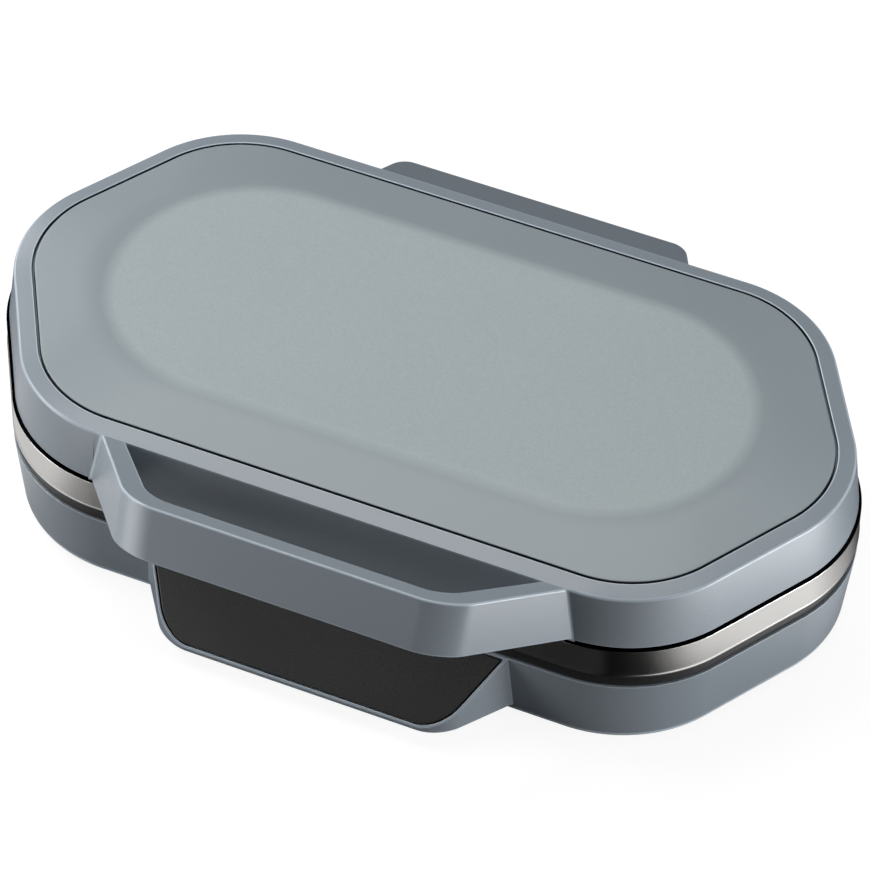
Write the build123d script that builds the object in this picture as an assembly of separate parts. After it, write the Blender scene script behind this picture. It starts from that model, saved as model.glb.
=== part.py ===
from build123d import *
from math import cos, radians, sin, tan
import os

# Double waffle maker, in millimetres. +X is to the right, -Y is the front with the handle, +Z is up.
# The pieces are drawn about the middle of the housing and moved at the end, so that the origin
# lies under the middle of the whole object, on the surface that it stands on.

# Plan outline: a long hexagon with 120 degree corners, taken at the seam of the top panel
seam_half_length = 185.0
seam_half_depth = 89.14
corner_radius = 50.0

# How far each edge stands outside the seam outline, and how high it lies
foot_height = 3.0
base_bottom_grow = 5.4
base_edge_grow, base_edge_height = 9.2, 7.0
base_top_grow, base_top = 12.5, 37.1
band_grow, band_bottom, band_top = 12.74, 43.3, 58.4
lid_bottom_grow, lid_bottom = 11.16, 58.9
lid_crest_grow, lid_crest = 8.25, 84.3
seam_height = 85.95
plateau_half_length, plateau_half_depth, plateau_height = 148.0, 63.0, 90.5

wall = 2.6
sheet = 0.8
fit_gap = 0.15

# Top panel in its rebate
panel_gap = 0.9
ledge_bottom, ledge_top, ledge_width = 80.4, 82.8, 7.0
panel_thickness = 2.4
clip_places = [(-100, 1), (0, 1), (100, 1), (-100, -1), (0, -1), (100, -1)]

# Handle: a flat loop that rises to the front, measured in its own tilted plane
handle_tilt = 22.0
handle_thickness = 24.0
handle_front = 150.0
handle_root_half, handle_front_half, handle_radius = 102.6, 70.1, 26.7
gap_root_half, gap_front_half, gap_radius = 91.7, 64.2, 18.7
handle_bar = 9.4
handle_overlap = 16.0
handle_skin = 2.2
insert_thickness, insert_recess = 3.0, 0.6

# Hinge
axis_y, axis_z = 112.0, 48.0
pin_radius, pin_inner, pin_outer = 3.0, 34.5, 57.5
running_gap, press_gap = 0.08, 0.02
lug_inner, lug_outer, lug_radius = 40.0, 52.0, 7.0
arm_width, arm_radius = 5.0, 7.5
cover_root_half, cover_back_half, cover_back, cover_radius = 80.8, 66.7, 125.0, 9.9
cover_bottom, cover_root_top, cover_back_top = 54.0, 69.6, 66.4
cover_root = 97.0

# Console wedge on the front of the base
wedge_root = seam_half_depth + base_top_grow
wedge_root_half, wedge_front_half, wedge_front, wedge_radius = 80.4, 61.95, 128.1, 22.0
wedge_lip = 9.2
console_border, console_thickness = 2.4, 2.2
light_spacing, light_down, light_radius, light_length = 28.0, 5.6, 2.0, 8.8

# Waffle plates: two round wells each, filled with a square grid of tapered studs
parting_height, parting_gap = 43.1, 0.4
plate_grow, plate_skin, skirt_width = 11.3, 3.0, 3.3
well_x, well_radius, well_floor_radius, well_depth = 88.0, 76.0, 73.4, 12.0
stud_pitch, stud_base, stud_tip, stud_height = 18.0, 12.0, 8.4, 9.0
rib_thickness = 3.0
groove_inner, groove_outer, groove_depth = 78.5, 81.5, 1.4

# Fixings: four long screws in the lid and four in the base, at the same places in plan
fixing_x, fixing_y = 140.0, 66.0
post_radius, post_bore = 4.4, 2.0
screw_radius, screw_head_radius, screw_head_height = 1.9, 3.6, 2.4
pillar_radius = 6.0
upper_shield_height, lower_shield_height = 65.0, 19.2
shield_grow, shield_skirt = 2.0, 6.0
element_radius = 3.2
element_half_length, element_half_depth, element_end = 135.0, 48.0, 70.0

# Base fittings
cover_grow, cover_thickness = 4.0, 2.5
foot_x, foot_y, foot_radius, foot_plug_radius = 112.0, 66.0, 9.0, 4.0
gland_height, gland_radius, gland_bore, gland_face = 13.0, 5.2, 3.6, 100.5
gland_nose = 108.0
clamp_y = 80.5
thermostat_y = -58.0

tilt = radians(handle_tilt)
handle_root = seam_half_depth + lid_crest_grow
handle_reach = (handle_front - handle_root - handle_thickness * sin(tilt)) / cos(tilt)
gap_reach = handle_reach - handle_bar
centre_shift = (handle_front - cover_back) / 2


def outline(grow, height):
    # the long hexagon, grown outwards and laid at a height
    half_depth = seam_half_depth + grow
    half_length = seam_half_length + grow / cos(radians(30))
    flat = half_length - half_depth / tan(radians(60))
    corners = [
        (half_length, 0), (flat, half_depth), (-flat, half_depth),
        (-half_length, 0), (-flat, -half_depth), (flat, -half_depth),
    ]
    rim = FilletPolyline(*corners, radius=corner_radius + grow, close=True)
    return Pos(0, 0, height) * make_face(rim.edges())


def layers(*rings):
    # a solid through outlines that are stacked as (grow, height)
    return loft([outline(grow, height) for grow, height in rings], ruled=True)


def slab(grow, low, high):
    return extrude(outline(grow, low), amount=high - low)


def trapezoid(root_half, root, front_half, front, radius, overlap):
    # a flat shape that narrows from its root to its front, with two rounded front corners
    spread = (root_half - front_half) / (front - root)
    back_half = root_half + spread * overlap
    back = root - overlap
    corners = [(back_half, -back), (-back_half, -back), (-front_half, -front), (front_half, -front)]
    rim = FilletPolyline(*corners, radius=[0, 0, radius, radius], close=True)
    return make_face(rim.edges())


def lid_solid(extra):
    return layers(
        (lid_bottom_grow + extra, lid_bottom),
        (lid_crest_grow + extra, lid_crest),
        (panel_gap / 2 + extra, seam_height),
    )


def band_room():
    # the space under the lid's edge that is left to the steel band
    return slab(band_grow + 0.5, band_bottom, lid_bottom)


def handle_plane():
    return Plane(origin=(0, -handle_root, lid_crest), x_dir=(1, 0, 0), z_dir=(0, sin(tilt), cos(tilt)))


def handle_loop(inset):
    outer = trapezoid(handle_root_half, 0, handle_front_half, handle_reach, handle_radius, handle_overlap)
    gap = trapezoid(gap_root_half, 0, gap_front_half, gap_reach, gap_radius, handle_overlap * 2)
    if inset:
        outer = offset(outer, amount=-inset)
        gap = offset(gap, amount=inset)
    return outer - gap


def handle():
    loop = handle_plane() * handle_loop(0)
    pocket = handle_plane().offset(-handle_thickness) * handle_loop(handle_skin)
    hollow = extrude(pocket, amount=handle_thickness - 4) - lid_solid(handle_skin)
    return extrude(loop, amount=-handle_thickness) - hollow - band_room()


def handle_insert():
    floor = handle_plane().offset(insert_recess - handle_thickness) * handle_loop(handle_skin + fit_gap)
    return extrude(floor, amount=insert_thickness) - lid_solid(handle_skin + fit_gap) - band_room()


def hinge_arm(eye_radius, wall_low, wall_high, start, width):
    # a flat arm from two points on a wall to the eye round the hinge axis
    eye = Pos(axis_y, axis_z) * Circle(eye_radius)
    face = make_hull(eye.edges() + Line(wall_low, wall_high).edges())
    return extrude(Plane.YZ.offset(start) * face, amount=width)


def cross_rod(radius, start, end, y, z):
    return Pos((start + end) / 2, y, z) * Rot(0, 90, 0) * Cylinder(radius, end - start)


def fixing_places():
    return [(x, y) for x in (-fixing_x, fixing_x) for y in (-fixing_y, fixing_y)]


def column(x, y, radius, low, high):
    return Pos(x, y, (low + high) / 2) * Cylinder(radius, high - low)


def lid_arms():
    arms = []
    for start in (-lug_outer - 1 - arm_width, -lug_inner + 1, lug_inner - 1 - arm_width, lug_outer + 1):
        arms.append(hinge_arm(arm_radius, (98.6, 61.0), (98.2, 66.0), start, arm_width))
    rod = cross_rod(pin_radius + press_gap, -pin_outer, pin_outer, axis_y, axis_z)
    return [arm - rod - band_room() for arm in arms]


def lid_shell():
    cavity = layers(
        (lid_bottom_grow - wall, lid_bottom - 1),
        (lid_crest_grow - wall + 0.4, ledge_bottom),
    )
    window = slab(-ledge_width, ledge_bottom - 1, seam_height + 1)
    rebate = slab(panel_gap / 2, ledge_top, seam_height + 1)
    lip = slab(lid_bottom_grow - 1.2, band_top, lid_bottom + 0.5)
    shell = lid_solid(0) + handle() + lip - cavity - window - rebate
    for x, y in fixing_places():
        shell += column(x, y, pillar_radius, upper_shield_height + sheet, ledge_top)
    for x, y in fixing_places():
        shell -= column(x, y, screw_radius + 0.2, upper_shield_height, ledge_top)
        shell -= column(x, y, screw_head_radius + 0.3, ledge_top - screw_head_height - 0.4, ledge_top)
    for arm in lid_arms():
        shell += arm
    for side in (-1, 1):
        shell -= Pos(side * 66, 98, 63) * Rot(90, 0, 0) * Cylinder(1.7, 12)
    return shell


def lid_panel():
    narrow = seam_half_depth - plateau_half_depth
    lift = plateau_height - seam_height
    edge = -panel_gap / 2
    rings = [(edge, ledge_top), (edge, seam_height - 0.3), (edge - 0.3, seam_height)]
    for inward, rise in ((0.55, 0.62), (0.8, 0.86), (1.0, 0.98), (1.25, 1.0)):
        rings.append((-narrow * inward, seam_height + lift * rise))
    skin = layers(*rings)
    under = [(-ledge_width, ledge_top - 1), (-ledge_width, seam_height - panel_thickness)]
    under.append((-narrow, plateau_height - panel_thickness))
    panel = skin - layers(*under)
    for x, side in clip_places:
        y = side * (seam_half_depth - ledge_width - 0.9)
        panel += Pos(x, y, ledge_top - 1.0) * Box(12, 1.4, 7)
        panel += Pos(x, y + side * 0.7, ledge_bottom - 0.9) * Box(12, 1.6, 1.2)
    return panel


def steel_band():
    body = slab(band_grow, band_bottom, band_top)
    flange_hole = slab(5.5, band_bottom, band_top)
    return body - slab(band_grow - 1, band_bottom, band_top - 1) - flange_hole


def hinge_cover_block(inset, drop):
    plan = trapezoid(cover_root_half, cover_root, cover_back_half, cover_back, cover_radius, 6.0)
    if inset:
        plan = offset(plan, amount=-inset)
    block = extrude(Pos(0, 0, cover_bottom - drop) * Rot(0, 0, 180) * plan, amount=30)
    slope = (cover_root_top - cover_back_top) / (cover_back - cover_root)
    top = Plane(origin=(0, cover_root, cover_root_top - drop), x_dir=(1, 0, 0), z_dir=(0, slope, 1))
    return split(block, bisect_by=top, keep=Keep.BOTTOM)


def hinge_cover():
    cover = hinge_cover_block(0, 0) - hinge_cover_block(wall - 0.2, wall - 0.2)
    for side in (-1, 1):
        boss = Pos(side * 66, 107.5, 63) * Rot(90, 0, 0) * Cylinder(4, 18)
        cover += boss - Pos(side * 66, 105, 63) * Rot(90, 0, 0) * Cylinder(1.55, 16)
    return cover - lid_solid(0.05) - band_room()


def hinge_cover_screws():
    screws = []
    for side in (-1, 1):
        shank = Pos(side * 66, 102.5, 63) * Rot(90, 0, 0) * Cylinder(1.5, 15)
        head = Pos(side * 66, 94.4, 63) * Rot(90, 0, 0) * Cylinder(3.2, 1.8)
        screws.append(shank + head)
    return screws


def hinge_pins():
    return [
        cross_rod(pin_radius, -pin_outer, -pin_inner, axis_y, axis_z),
        cross_rod(pin_radius, pin_inner, pin_outer, axis_y, axis_z),
    ]


def studs(centre_x, floor, rise):
    # tapered square studs on a grid, as many as fit whole in a round well, and a cross of low ribs
    reach = well_floor_radius - 1.0
    steps = [stud_pitch * (n + 0.5) for n in range(-4, 4)]
    grown = []
    for x in steps:
        for y in steps:
            if (abs(x) + stud_base / 2) ** 2 + (abs(y) + stud_base / 2) ** 2 < reach ** 2:
                foot = Pos(centre_x + x, y, floor) * Rectangle(stud_base, stud_base)
                tip = Pos(centre_x + x, y, floor + rise) * Rectangle(stud_tip, stud_tip)
                grown.append(loft([foot, tip], ruled=True))
    for length, width in ((2 * well_floor_radius, rib_thickness), (rib_thickness, 2 * well_floor_radius)):
        grown.append(Pos(centre_x, 0, floor + rise / 2) * Box(length, width, abs(rise)))
    return grown


def waffle_plate(side, skirt_end, post_end):
    # side is -1 for the lower plate, which hangs below the parting plane, and 1 for the upper one
    land = parting_height + side * parting_gap / 2
    back = land + side * plate_skin
    floor = land + side * well_depth
    far = floor + side * plate_skin
    plate = slab(plate_grow, *sorted((land, skirt_end)))
    plate -= slab(plate_grow - skirt_width, *sorted((back, skirt_end + side)))
    for x in (-well_x, well_x):
        plate += column(x, 0, well_radius + plate_skin, *sorted((land + side, far)))
    for x in (-well_x, well_x):
        mouth = Pos(x, 0, land) * Circle(well_radius)
        bottom = Pos(x, 0, floor) * Circle(well_floor_radius)
        plate -= loft([mouth, bottom], ruled=True)
        groove = Circle(groove_outer) - Circle(groove_inner)
        if side < 0:
            plate -= extrude(Pos(x, 0, land - groove_depth) * groove, amount=groove_depth)
        plate += studs(x, floor, -side * stud_height)
    for x, y in fixing_places():
        plate += column(x, y, post_radius, *sorted((back - side, post_end)))
    for x, y in fixing_places():
        plate -= column(x, y, post_bore, *sorted((back + side * 2, post_end)))
    return plate


def heating_element(height):
    # one sheathed tube that runs round under both wells, with its two ends at the back
    x, y = element_half_length, element_half_depth
    end_x = 22
    route = [(-end_x, element_end), (-end_x, y), (-x, y), (-x, -y), (x, -y), (x, y), (end_x, y), (end_x, element_end)]
    path = FilletPolyline(*route, radius=[10, 30, 30, 30, 30, 10])
    section = Plane(origin=(-end_x, element_end, 0), z_dir=(0, -1, 0)) * Circle(element_radius)
    return Pos(0, 0, height) * sweep(section, path=path.wire())


def heat_shield(height, turn):
    # a flat sheet with a turned edge, on the ends of the plate's posts
    low, high = sorted((height, height + shield_skirt * turn))
    if turn < 0:
        low, high = low + sheet, height + sheet
    tray = slab(shield_grow, low, high)
    hollow_low, hollow_high = (low, high - sheet) if turn < 0 else (low + sheet, high)
    tray -= slab(shield_grow - sheet, hollow_low, hollow_high)
    for x, y in fixing_places():
        tray -= column(x, y, screw_radius + 0.2, low - 1, high + 1)
    if turn > 0:
        tray -= column(0, thermostat_y, 12, low - 1, high + 1)
    return tray


def long_screws(head_low, head_high, shank_low, shank_high):
    screws = []
    for x, y in fixing_places():
        head = column(x, y, screw_head_radius, head_low, head_high)
        socket = Pos(x, y, head_low if head_low < shank_low else head_high) * Box(4, 0.9, 1.6)
        screws.append(head + column(x, y, screw_radius, shank_low, shank_high) - socket)
    return screws


def wedge_plane(depth):
    fall = base_top - wedge_lip
    run = wedge_front - wedge_root
    plane = Plane(origin=(0, -wedge_root, base_top), x_dir=(1, 0, 0), z_dir=(0, -fall, run))
    return plane.offset(-depth)


def wedge(inset, low, depth):
    plan = trapezoid(wedge_root_half, wedge_root, wedge_front_half, wedge_front, wedge_radius, 8.0)
    if inset:
        plan = offset(plan, amount=-inset)
    block = extrude(Pos(0, 0, low) * plan, amount=base_top - low)
    return split(block, bisect_by=wedge_plane(depth), keep=Keep.BOTTOM)


def console_slab(inset, depth):
    # the layer just under the wedge's slope, inside its border
    top_edge = Pos(0, -wedge_root - inset - 20, 20) * Box(200, 40, 60)
    return (wedge(inset, wedge_lip - 8, 0) - wedge(inset - 0.5, wedge_lip - 12, depth)) & top_edge


def light_rod(radius, x, start, end):
    centre = wedge_plane(0) * Pos(x, -light_down, (start + end) / 2)
    return centre * Cylinder(radius, end - start)


def base_shell():
    outer = layers(
        (base_bottom_grow, foot_height), (base_edge_grow - 1.4, foot_height + 1.2),
        (base_edge_grow, base_edge_height), (base_top_grow, base_top),
    )
    shelf = foot_height + cover_thickness + 2.5
    cavity = layers((base_edge_grow - wall, shelf), (base_top_grow - wall + 0.1, base_top + 1))
    opening = slab(cover_grow + fit_gap, foot_height - 1, foot_height + cover_thickness)
    shelf_hole = slab(-3, foot_height, shelf + 1)
    shell = outer + wedge(0, foot_height, 0)
    shell -= cavity
    shell -= wedge(wall, shelf, wall + console_thickness)
    shell -= opening
    shell -= shelf_hole
    for x, y in fixing_places():
        shell -= column(x, y, pillar_radius + 0.4, foot_height + cover_thickness, base_top)
    shell -= console_slab(console_border, console_thickness)
    for start in (-lug_outer, lug_inner):
        shell += hinge_arm(lug_radius, (97.6, 14.0), (99.6, 34.0), start, lug_outer - lug_inner)
    shell -= cross_rod(pin_radius + running_gap, -70, 70, axis_y, axis_z)
    shell += Pos(0, (gland_face + 97) / 2, gland_height) * Rot(90, 0, 0) * Cylinder(9.5, gland_face - 97)
    shell -= Pos(0, 97, gland_height) * Rot(90, 0, 0) * Cylinder(gland_radius + 0.1, 12)
    for x in (-38, 38):
        shell += wedge_plane(0) * Pos(x, -14, -6.8) * Cylinder(3, 6.2)
    for side in (-1, 1):
        shell -= light_rod(light_radius + 0.3, side * light_spacing / 2, -9, 0)
    return shell


def console_panel():
    panel = console_slab(console_border + fit_gap, console_thickness - 0.05)
    for side in (-1, 1):
        panel -= light_rod(light_radius + 0.05, side * light_spacing / 2, -9, 3)
    return panel


def light(side):
    rod = light_rod(light_radius, side * light_spacing / 2, -light_length, 0.3)
    return rod + light_rod(light_radius - 0.6, side * light_spacing / 2, -light_length, 0.6)


def indicator_board():
    board = wedge_plane(0) * Pos(0, -12, -10.7) * Box(88, 17, 1.6)
    for side in (-1, 1):
        board += light_rod(1.9, side * light_spacing / 2, -10, -light_length)
    return board


def base_cover():
    low, high = foot_height, foot_height + cover_thickness
    cover = slab(cover_grow, low, high)
    for x, y in fixing_places():
        cover += column(x, y, pillar_radius, high, lower_shield_height)
    for x, y in fixing_places():
        cover -= column(x, y, screw_radius + 0.2, low, lower_shield_height)
        cover -= column(x, y, screw_head_radius + 0.3, low, low + screw_head_height + 0.4)
        side = 1 if x > 0 else -1
        cover -= column(side * foot_x, y, foot_plug_radius + 0.05, low, high)
    for x in range(-60, 61, 12):
        for y in (-30, 30):
            cover -= Pos(x, y, (low + high) / 2) * Box(3.2, 34, cover_thickness * 2)
    return cover


def rubber_feet():
    feet = []
    for x in (-foot_x, foot_x):
        for y in (-foot_y, foot_y):
            pad = loft([Pos(x, y, 0) * Circle(foot_radius - 1), Pos(x, y, foot_height) * Circle(foot_radius)])
            feet.append(pad + column(x, y, foot_plug_radius, foot_height, foot_height + cover_thickness + 1))
    return feet


def cord_gland():
    ring = Pos(0, gland_face + 1.5, gland_height) * Rot(90, 0, 0) * Cylinder(8.2, 3)
    tube = Pos(0, (93.5 + gland_nose) / 2, gland_height) * Rot(90, 0, 0) * Cylinder(gland_radius, gland_nose - 93.5)
    bore = Pos(0, 100, gland_height) * Rot(90, 0, 0) * Cylinder(gland_bore, 30)
    return ring + tube - bore


def cord_clamp():
    floor = foot_height + cover_thickness
    block = Pos(0, clamp_y, floor) * Box(30, 9, 13, align=(Align.CENTER, Align.CENTER, Align.MIN))
    block -= Pos(0, clamp_y, gland_height) * Rot(90, 0, 0) * Cylinder(gland_bore + 0.4, 12)
    for x in (-10, 10):
        block -= column(x, clamp_y, 1.6, floor, floor + 20)
    return block


def terminal_block():
    floor = foot_height + cover_thickness
    block = Pos(-45, 60, floor) * Box(34, 16, 10.5, align=(Align.CENTER, Align.CENTER, Align.MIN))
    for x in (-56, -45, -34):
        block -= Pos(x, 60, floor + 6) * Rot(90, 0, 0) * Cylinder(1.7, 20)
        block -= column(x, 60, 2.4, floor + 6, floor + 12)
    return block


def thermostat():
    back = parting_height - parting_gap / 2 - plate_skin
    body = column(0, thermostat_y, 8, back - 9, back)
    for x in (-5, 5):
        body += Pos(x, thermostat_y, back - 12) * Box(0.8, 5, 7)
    return body


def thermal_fuse(y, centre_height):
    fuse = Pos(0, y, centre_height) * Rot(0, 90, 0) * Cylinder(2.4, 11)
    return fuse + Pos(0, y, centre_height) * Rot(0, 90, 0) * Cylinder(0.6, 20)


def lead(*route, bend):
    path = FilletPolyline(*route, radius=bend)
    start, after = Vector(route[0]), Vector(route[1])
    section = Plane(origin=start, z_dir=after - start) * Circle(1.3)
    return sweep(section, path=path.wire())


def inner_leads():
    level = foot_height + cover_thickness + 6
    down = thermostat_y
    rear = element_end + 6
    return [
        lead((-5, down, 24), (-5, down, level), (-45, down, level), (-45, 51, level), bend=6),
        lead((-56, 51, level), (-56, 40, level), (-70, 40, level), (-70, rear, level), (-32, rear, level),
             (-32, rear, 16), bend=[4, 4, 6, 2]),
    ]


def upper_insulation_pad():
    low = upper_shield_height + sheet
    return slab(-16, low, low + 7)


far_lower = parting_height - parting_gap / 2 - well_depth - plate_skin
far_upper = parting_height + parting_gap / 2 + well_depth + plate_skin
head_top = ledge_top - 0.3
head_low = foot_height + 0.3

nodes = {
    "lid_shell": lid_shell(),
    "lid_panel": lid_panel(),
    "handle_insert": handle_insert(),
    "steel_band": steel_band(),
    "upper_waffle_plate": waffle_plate(1, band_top - 1, upper_shield_height),
    "upper_heating_element": heating_element(far_upper + element_radius),
    "upper_heat_shield": heat_shield(upper_shield_height, -1),
    "upper_insulation_pad": upper_insulation_pad(),
    "upper_thermal_fuse": thermal_fuse(-62, parting_height + parting_gap / 2 + plate_skin + 2.4),
    "upper_plate_screws": long_screws(head_top - screw_head_height, head_top, 52, head_top - screw_head_height),
    "hinge_cover": hinge_cover(),
    "hinge_cover_screws": hinge_cover_screws(),
    "hinge_pins": hinge_pins(),
    "base_shell": base_shell(),
    "base_cover": base_cover(),
    "rubber_feet": rubber_feet(),
    "base_screws": long_screws(head_low, head_low + screw_head_height, head_low + screw_head_height, 34),
    "console_panel": console_panel(),
    "power_light": light(-1),
    "ready_light": light(1),
    "indicator_board": indicator_board(),
    "lower_waffle_plate": waffle_plate(-1, base_top, lower_shield_height + sheet),
    "lower_heating_element": heating_element(far_lower - element_radius),
    "lower_heat_shield": heat_shield(lower_shield_height, 1),
    "thermostat": thermostat(),
    "lower_thermal_fuse": thermal_fuse(62, parting_height - parting_gap / 2 - plate_skin - 2.4),
    "terminal_block": terminal_block(),
    "inner_leads": inner_leads(),
    "cord_gland": cord_gland(),
    "cord_clamp": cord_clamp(),
}

os.makedirs("parts", exist_ok=True)
for name, made in nodes.items():
    solids = []
    for shape in made if isinstance(made, list) else [made]:
        solids.extend(shape.solids())
    placed = [Pos(0, centre_shift, 0) * solid for solid in solids]
    export_step(placed[0] if len(placed) == 1 else Compound(children=placed), f"parts/{name}.step")
    print(name, len(placed), "solids,", round(sum(solid.volume for solid in placed)), "mm3")
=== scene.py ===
from math import atan2, copysign, cos, hypot, pi, radians, sin, tan

import bmesh
import bpy
from bmesh.types import BMEdge, BMFace, BMVert
from mathutils import Matrix, Vector


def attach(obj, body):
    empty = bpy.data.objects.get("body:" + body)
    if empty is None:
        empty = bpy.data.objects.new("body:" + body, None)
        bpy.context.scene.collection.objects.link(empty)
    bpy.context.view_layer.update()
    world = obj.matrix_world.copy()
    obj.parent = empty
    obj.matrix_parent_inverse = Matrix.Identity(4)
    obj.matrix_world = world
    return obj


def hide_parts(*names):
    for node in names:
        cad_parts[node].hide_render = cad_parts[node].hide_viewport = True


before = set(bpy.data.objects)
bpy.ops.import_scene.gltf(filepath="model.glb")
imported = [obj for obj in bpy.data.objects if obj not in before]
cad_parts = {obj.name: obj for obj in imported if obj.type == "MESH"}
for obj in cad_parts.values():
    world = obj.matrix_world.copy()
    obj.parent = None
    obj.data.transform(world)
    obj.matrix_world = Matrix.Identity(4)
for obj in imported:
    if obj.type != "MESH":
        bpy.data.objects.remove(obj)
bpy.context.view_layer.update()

mm = 0.001
sixth = radians(60)
scene = bpy.context.scene

# Mesh settings in mm and degrees; "flat" is how far up or down a normal points on a level face,
# and "cornerFit" makes a bevelled obtuse corner as deep as the true arc of its radius
# Fillet faces are painted lighter by the last value, a painted highlight on the edges
meshing = {
    "merge": 0.0005, "uniteMerge": 0.06, "sliver": 0.01, "cutMerge": 0.001, "level": 0.01, "exact": 1e-4,
    "crease": 32, "sharp": 20, "flat": 0.9, "cornerFit": 0.91, "normalWeight": 60, "paintedHighlight": 0.45,
}

# The housing is drawn about its own middle, which lies this far behind the origin
middle = Vector((0.0, 0.0125, 0.0))

# The long hexagon that all the housing outlines follow, taken at the panel's seam
housing = {
    "halfLength": 185.0,
    "halfDepth": 89.14,
    "corner": 50.0,
    "steps": 144,
}


def cornerMiddle(turn):
    # centre of one of the six rounded corners, in mm; turn counts 60 degrees from +X
    reach = housing["corner"] / sin(sixth)
    flat = housing["halfLength"] - housing["halfDepth"] / tan(sixth)
    angle = sixth * turn
    tipX = housing["halfLength"] if turn % 3 == 0 else flat
    x = tipX * (1 if cos(angle) > 0 else -1)
    y = housing["halfDepth"] * (0 if turn % 3 == 0 else (1 if sin(angle) > 0 else -1))
    return Vector((x - reach * cos(angle), y - reach * sin(angle), 0))


def cornerTowards(spot):
    return cornerMiddle(round(atan2(spot.y, spot.x) / sixth) % 6)


def evenCircle(bm, radius):
    # no vertex lies on the lines between the six arcs
    half = Matrix.Rotation(pi / housing["steps"], 4, "Z")
    return bmesh.ops.create_circle(bm, segments=housing["steps"], radius=radius, matrix=half)["verts"]


def outlineRing(bm, grow, height):
    # a circle whose six 60 degree arcs are moved apart makes the long hexagon, grown by "grow"
    verts = evenCircle(bm, housing["corner"] + grow)
    for vert in verts:
        vert.co += cornerTowards(vert.co)
        vert.co.z += height
    return ringEdges(verts)


def ringEdges(verts):
    inRing = set(verts)
    return list({edge for vert in verts for edge in vert.link_edges if edge.other_vert(vert) in inRing})


def bridgeAll(bm, rings, closed=False):
    pairs = list(zip(rings, rings[1:]))
    if closed:
        pairs.append((rings[-1], rings[0]))
    for low, high in pairs:
        bmesh.ops.bridge_loops(bm, edges=low + high)


def faceLayer(bm, name):
    return bm.faces.layers.float.get(name) or bm.faces.layers.float.new(name)


def roundRing(bm, edges, width, segments=3, paintedHighlight=meshing["paintedHighlight"]):
    # the fillet faces are marked, so that a finish can paint them lighter, a painted highlight along the
    # edges
    fillet, gap = faceLayer(bm, "fillet"), faceLayer(bm, "gap")
    alive = [edge for edge in edges if edge.is_valid]
    made = bmesh.ops.bevel(
        bm, geom=alive, offset=width, offset_type="OFFSET", segments=segments,
        profile=0.5, affect="EDGES", material=-1, clamp_overlap=False,
    )
    for face in made["faces"]:
        face[fillet] = paintedHighlight
        face[gap] = 0.0


def paintSeamShade(bm, inGap):
    # faces inside a seam, which are painted black as painted shade, standing in for the seam's shadow
    gap = faceLayer(bm, "gap")
    for face in bm.faces:
        if inGap(face.calc_center_median(), face.normal):
            face[gap] = 1.0


def ringShell(bm, profile):
    # profile rows are (grow, height, edge radius)
    rings = [outlineRing(bm, grow, height) for grow, height, _ in profile]
    bridgeAll(bm, rings, closed=True)
    for edges, (_, _, radius) in zip(rings, profile):
        if radius:
            # these profile edges are painted lighter at full strength, a painted highlight
            roundRing(bm, edges, radius, paintedHighlight=1.0)


def sharpEdges(bm, angle=meshing["sharp"]):
    shared = [edge for edge in bm.edges if len(edge.link_faces) == 2]
    return [edge for edge in shared if edge.calc_face_angle() > radians(angle)]


def only(geom, kind):
    return [item for item in geom if isinstance(item, kind)]


def dropFaces(bm, faces):
    bmesh.ops.delete(bm, geom=[face for face in faces if face.is_valid], context="FACES")


def insetFaces(bm, faces, width):
    bmesh.ops.inset_region(bm, faces=faces, thickness=width, use_even_offset=True)


def tidyNormals(bm):
    bmesh.ops.remove_doubles(bm, verts=bm.verts, dist=meshing["merge"])
    bmesh.ops.recalc_face_normals(bm, faces=bm.faces)


def toObject(bm, name):
    mesh = bpy.data.meshes.new(name)
    bm.to_mesh(mesh)
    bm.free()
    made = bpy.data.objects.new(name, mesh)
    scene.collection.objects.link(made)
    return made


def finishPiece(bm, name, body, material, replaced):
    # mm to metres, smooth faces with creases kept, then the piece's finish, slot and body
    bmesh.ops.scale(bm, vec=(mm, mm, mm), verts=bm.verts)
    bmesh.ops.translate(bm, vec=middle, verts=bm.verts)
    for face in bm.faces:
        face.smooth = True
    for edge in bm.edges:
        if len(edge.link_faces) == 2:
            edge.smooth = edge.calc_face_angle() < radians(meshing["crease"])
    piece = toObject(bm, name)
    weight = piece.modifiers.new("weightedNormals", "WEIGHTED_NORMAL")
    weight.keep_sharp = True
    weight.weight = meshing["normalWeight"]
    piece.data.materials.append(material)
    if replaced:
        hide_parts(*replaced)
    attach(piece, body)


def unite(first, second):
    # two closed shapes become one, which keeps the crease where they meet for a fillet
    pieces = []
    for bm in (first, second):
        tidyNormals(bm)
        pieces.append(toObject(bm, "draft"))
    union = pieces[0].modifiers.new("union", "BOOLEAN")
    union.operation = "UNION"
    union.solver = "EXACT"
    union.object = pieces[1]
    graph = bpy.context.evaluated_depsgraph_get()
    joined = bpy.data.meshes.new_from_object(pieces[0].evaluated_get(graph))
    bm = bmesh.new()
    bm.from_mesh(joined)
    for piece in pieces:
        bpy.data.objects.remove(piece)
    bpy.data.meshes.remove(joined)
    bmesh.ops.remove_doubles(bm, verts=bm.verts, dist=meshing["uniteMerge"])
    bmesh.ops.dissolve_degenerate(bm, dist=meshing["sliver"], edges=bm.edges)
    return bm


# Camera, from the photograph's fitted view
cameraValues = {
    "azimuth": 22.436,
    "elevation": 45.548,
    "roll": 1.632,
    "lens": 201.76,
    "place": (0.5529, -1.3294, 1.5054),
    "sensor": 36,
    "clipEnd": 20,
}


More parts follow.
